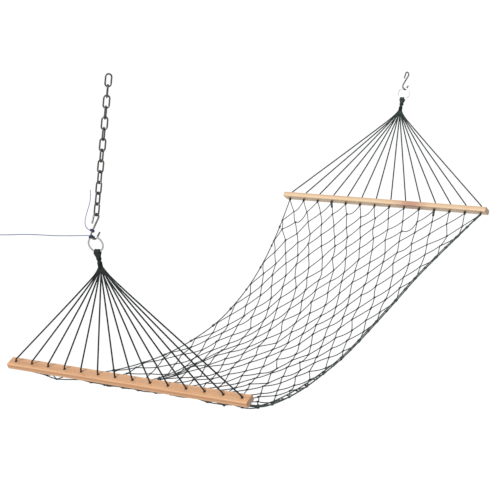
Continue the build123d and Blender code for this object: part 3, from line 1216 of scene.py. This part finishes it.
@dataclass
class Edge:
    """Edge cord of the net: knotted on the left, doubled and tied with twine on the right."""

    net: Net
    side: Side
    gap: float = 0.0045
    wide_gap: float = 0.014
    bundle_length: float = 0.115
    lift: float = 0.0015
    wide_stations: int = 6
    left_spacing: float = 0.125
    left_knot_size: Place = (0.0062, 0.0036, 0.0018)
    tie_spacing: float = 0.0625
    tie: Lay = Lay(0.0009, strands=2, per_strand=3, groove=0.18, pitch=0.014)

    def _route(self, inwards: float) -> list[Array]:
        """Route from the near bar's last knot to the far bar's, by the net's edge knots."""
        index = 0 if self.side is Side.LEFT else -1
        rows = range(0, self.net.rows + 1, 2)
        ends = [self.net.knots[row][index].copy() for row in rows]
        for place in range(1, len(ends) - 1):
            near = max(0.0, 1 - place / self.wide_stations)
            offset = self.gap + (self.wide_gap - self.gap) * math.sin(math.pi * near) ** 2
            ends[place] -= ALONG_BAR * self.side.value * inwards * offset
            ends[place] += UPWARDS * inwards * self.lift
        return ends

    def build(self) -> None:
        """Builds the edge cord, and on the doubled side the second cord and their ties."""
        word = self.side.name.lower()
        if self.side is Side.LEFT:
            line = self._cord(f"net_edge_{word}", 0.0, self.net.thin_cord)
            self._edge_knots(word, line)
            return
        outer = self._cord(f"net_edge_{word}", 0.0, self.net.edge_cord)
        inner = self._cord(f"net_edge_inner_{word}", 1.0, self.net.second_cord)
        self._ties(word, outer, inner)

    def _cord(self, name: str, inwards: float, lay: Lay) -> Array:
        """Builds one cord of the edge.

        Args:
            name: Name of the piece.
            inwards: Share of the gap that it lies inside the edge.
            lay: How the cord is laid up.

        Returns:
            The cord's line.
        """
        line = smooth_route(self._route(inwards), steps=12)
        piece = laid_piece(name, line, lay, self.net.edge_finish.material)
        self.net.cross_joint(piece)
        return line

    def _edge_knots(self, word: str, line: Array) -> None:
        """Uneven knots that tie the outermost meshes to the single cord."""
        knots = CordMesh()
        along = distances_along(line)
        for place in np.arange(0.12, along[-1] - 0.05, self.left_spacing):
            wanted = place + self.net.random.normal(0, 0.008)
            centre = points_at(line, along, wanted)
            step = points_at(line, along, wanted + 0.01)
            size = np.array(self.left_knot_size) * self.net.random.uniform(0.8, 1.25)
            tied = overhand(centre, unit(step - centre), ALONG_BAR, size)
            knots.add(tied, self.net.knot_twine, closed=True)
        piece = knots.make(f"net_edge_knots_{word}", self.net.edge_finish.material)
        self.net.cross_joint(piece)

    def _ties(self, word: str, outer: Array, inner: Array) -> None:
        """Turns of twine round both cords: at each edge mesh, and close together by the bars."""
        ties = CordMesh()
        between = (outer + inner) / 2
        apart = np.linalg.norm(outer - inner, axis=1) / 2
        along = distances_along(between)
        starts = np.arange(self.bundle_length + 0.03, along[-1] - 0.05, self.tie_spacing)
        lengths = self.net.random.uniform(0.006, 0.014, len(starts))
        stretches = [(start, start + length) for start, length in zip(starts, lengths)]
        stretches += [(0.004, self.bundle_length), (along[-1] - 0.040, along[-1] - 0.004)]
        for start, end in stretches:
            wanted = np.linspace(start, end, 8)
            line = points_at(between, along, wanted)
            wide = float(np.interp((start + end) / 2, along, apart))
            pitch = 0.0030 if end - start < 0.05 else 0.0052
            ties.add(coil(line, self.net.edge_cord.radius + 0.0006, pitch, 12, wide), self.tie)
        piece = ties.make(f"net_edge_ties_{word}", self.net.edge_finish.material)
        self.net.cross_joint(piece)


# ---------------------------------------------------------------- guy line
@dataclass
class GuyLine:
    """Thin line that steadies the near ring: two hitches on the S-hook, a run and a loose tail."""

    line_finish: CordFinish
    shaded_knot_finish: CordFinish
    body: str = "near_end"
    chain_lean: float = 5.0
    hook_facing: float = 72.0
    hook_wire: float = 0.005
    lower_bend: float = 0.011
    hook_height: float = 0.066
    upper_bend: float = 0.008
    lower_angle: float = -27.0
    rise: float = 2.9
    run: float = 0.396
    eye_radius: float = 0.009
    gap: float = 0.0006
    wall: float = 0.0018
    twine: Lay = Lay(0.00118, groove=0.1, pitch=0.012, per_strand=2)
    hitch_twine: Lay = Lay(0.0009, strands=2, per_strand=3, pitch=0.014)
    hitch_pitch: float = 0.0019
    hitch_half: float = 0.0032
    hitch_knot_size: Place = (0.0028, 0.0022, 0.0009)
    kinks: tuple = ((0.0, 0.0), (0.06, -0.0010), (0.14, -0.0015), (0.25, 0.0022), (0.33, -0.0006))
    tail_foot: float = 0.006
    tail: tuple = ((0, 0), (12, 5), (19, 17), (18, 34), (14, 51), (9, 69), (8, 88), (11, 105))

    def __post_init__(self) -> None:
        """Works out the hook's axes and the line's two ends."""
        self.shank_lean = math.degrees(
            math.asin(
                (self.upper_bend + self.lower_bend)
                / (self.hook_height - self.upper_bend - self.lower_bend)
            )
        )
        hitch = middle_of("guy_hitch_lower")
        up = leaning(self.chain_lean)
        origin = upright_axes(np.zeros(3), up, self.hook_facing)
        lower = self._on_bend(self.lower_angle)
        bottom = hitch - origin.place(*lower)
        self.hook = upright_axes(bottom, up, self.hook_facing)
        rise = math.radians(self.rise)
        self.outwards = np.array([-math.cos(rise), 0.0, math.sin(rise)])
        self.outside = self.hook_wire / 2 + self.gap + self.wall + 2 * self.twine.radius
        self.start = self.hook.place(lower[0] + self.outside, lower[1] + 0.002)
        self.end = self.start + self.outwards * self.run

    def _on_bend(self, angle: float) -> Pair:
        """Local place on the hook's lower bend."""
        turn = math.radians(angle)
        return (
            self.lower_bend * math.cos(turn),
            self.lower_bend + self.lower_bend * math.sin(turn),
        )

    def build(self) -> None:
        """Builds the hitches, the run with its eye, and the tail."""
        hitches = self._hitches()
        self._run()
        self._tail()

    def _hitches(self) -> bpy.types.Object:
        """Turns of the line round the hook's bend and round its shank."""
        turns = CordMesh()
        hitches = {"guy_hitch_lower": self.lower_angle, "guy_hitch_upper": self.shank_lean}
        for node, angle in hitches.items():
            centre = middle_of(node)
            turn = math.radians(angle)
            wire = -math.sin(turn) * self.hook.across + math.cos(turn) * self.hook.up
            core = np.array([centre - wire * self.hitch_half, centre + wire * self.hitch_half])
            radius = self.hook_wire / 2 + self.gap + self.twine.radius
            turns.add(coil(core, radius, self.hitch_pitch, 18), self.hitch_twine)
            outer = radius + 1.1 * self.twine.radius
            turns.add(coil(core[::-1] * 0.55 + centre * 0.45, outer, 0.0026, 18), self.hitch_twine)
            beside = unit(np.cross(wire, self.hook.normal))
            tied = centre + beside * (outer + 0.0008)
            size = np.array(self.hitch_knot_size)
            turns.add(overhand(tied, wire, self.hook.normal, size), self.hitch_twine, closed=True)
        # The hitches take the darker copy of the guy twine's finish, which is painted shade.
        piece = turns.make("guy_hitches", self.shaded_knot_finish.material)
        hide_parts("guy_hitch_lower", "guy_hitch_upper")
        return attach(piece, self.body)

    def _run(self) -> None:
        """The taut run, which kinks a little where it was once folded, and its end eye."""
        points = [
            self.start + self.outwards * along + UPWARDS * sag
            for along, sag in (*self.kinks, (self.run, 0.0))
        ]
        line = smooth_route(points, steps=24)
        piece = laid_piece("guy_run", line, self.twine, self.line_finish.material)
        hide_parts("guy_line")
        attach(piece, self.body)
        eye = self._eye()

    def _eye(self) -> bpy.types.Object:
        """Eye at the line's free end, with its throat whipped."""
        centre = self.end + self.outwards * self.eye_radius
        angles = np.arange(40)[:, None] * TURN / 40
        ring = np.cos(angles) * self.outwards + np.sin(angles) * np.cross(self.outwards, ALONG_BAR)
        eye = CordMesh()
        eye.add(centre + self.eye_radius * ring, self.twine, closed=True)
        throat = np.array([self.end - self.outwards * 0.016, self.end - self.outwards * 0.002])
        eye.add(coil(throat, 2 * self.twine.radius, self.hitch_pitch, 14), self.hitch_twine)
        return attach(eye.make("guy_eye", self.line_finish.material), self.body)

    def _tail(self) -> None:
        """Stiff free end that stands up beside the chain."""
        upper = self._on_bend(self.shank_lean)
        lean = math.radians(self.shank_lean)
        foot_x = upper[0] - math.sin(lean) * self.tail_foot + self.outside
        foot_y = upper[1] + math.cos(lean) * self.tail_foot
        points = [self.hook.place(foot_x + x / 1000, foot_y + y / 1000) for x, y in self.tail]
        line = smooth_route(points, steps=12)
        piece = laid_piece("guy_tail_end", line, self.twine, self.line_finish.material)
        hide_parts("guy_tail")
        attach(piece, self.body)


# ---------------------------------------------------------------- studio
@dataclass
class Studio:
    """White room with a pale floor, soft light from the upper left, and the camera."""

    camera_place: Place = (-3.1041, -2.3100, -0.0814)
    heading: float = 30.92
    tilt: float = 5.22
    roll: float = 2.66
    lens: float = 106.3
    sensor: float = 36.0
    floor_gap: float = 1.0
    floor_size: float = 60.0
    floor_colour: Colour = (0.73, 0.73, 0.73)
    sky: float = 1.01
    sun: float = 3.0
    sun_angle: float = 9.0
    sun_from: Place = (-0.85, 0.20, 0.42)

    def build(self) -> None:
        """Builds floor, light and camera."""
        scene = bpy.context.scene
        scene.view_settings.view_transform = "Standard"
        self._floor()
        self._light(scene)
        self._camera(scene)

    def _floor(self) -> None:
        """Wide pale floor below the hammock."""
        half = self.floor_size / 2
        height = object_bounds()[0][2] - self.floor_gap
        around = ((-half, -half), (half, -half), (half, half), (-half, half))
        corners = [(x, y, height) for x, y in around]
        mesh = bpy.data.meshes.new("floor")
        mesh.from_pydata(corners, [], [(0, 1, 2, 3)])
        mesh.materials.append(FloorFinish("floor_paint", self.floor_colour).build())
        floor = bpy.data.objects.new("floor", mesh)
        bpy.context.scene.collection.objects.link(floor)
        floor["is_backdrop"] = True

    def _light(self, scene: bpy.types.Scene) -> None:
        """White surroundings and one soft sun."""
        world = bpy.data.worlds.new("studio")
        world.use_nodes = True
        background = world.node_tree.nodes["Background"]
        background.inputs["Color"].default_value = (1.0, 1.0, 1.0, 1.0)
        background.inputs["Strength"].default_value = self.sky
        scene.world = world
        data = bpy.data.lights.new("key", "SUN")
        data.energy = self.sun
        data.angle = math.radians(self.sun_angle)
        key = bpy.data.objects.new("key", data)
        key.rotation_mode = "QUATERNION"
        key.rotation_quaternion = (-Vector(self.sun_from)).to_track_quat("-Z", "Y")
        scene.collection.objects.link(key)

    def _camera(self, scene: bpy.types.Scene) -> None:
        """Camera at eye height beside the near end, looking along the hammock."""
        data = bpy.data.cameras.new("camera")
        data.lens = self.lens
        data.sensor_width = self.sensor
        data.clip_end = 200.0
        heading, tilt = math.radians(self.heading), math.radians(self.tilt)
        level = math.cos(tilt)
        forward = Vector((level * math.cos(heading), level * math.sin(heading), -math.sin(tilt)))
        level_turn = forward.to_track_quat("-Z", "Y").to_matrix()
        turn = level_turn @ Matrix.Rotation(math.radians(self.roll), 3, "Z")
        camera = bpy.data.objects.new("camera", data)
        camera.location = self.camera_place
        camera.rotation_mode = "QUATERNION"
        camera.rotation_quaternion = turn.to_quaternion()
        scene.collection.objects.link(camera)
        scene.camera = camera


def main() -> None:
    """Builds every sub-assembly in order."""
    logging.basicConfig(level=logging.INFO, format="%(name)s %(message)s")
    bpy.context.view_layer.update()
    palette = Palette()
    palette.build()
    Studio().build()
    Hardware(palette).build()
    near = Fan(End.NEAR, "near_end", palette.near_rope, palette.whipping, fan_lean=-21.8, bar_lean=-33.0)
    far = Fan(End.FAR, "bed", palette.far_rope, palette.whipping, fan_lean=18.1, bar_lean=25.0, seed=11)
    near.build()
    far.build()
    Net(near, far, palette.net, palette.edge).build()
    GuyLine(palette.guy, palette.guy_knot_shaded).build()


if __name__ == "__main__":
    main()
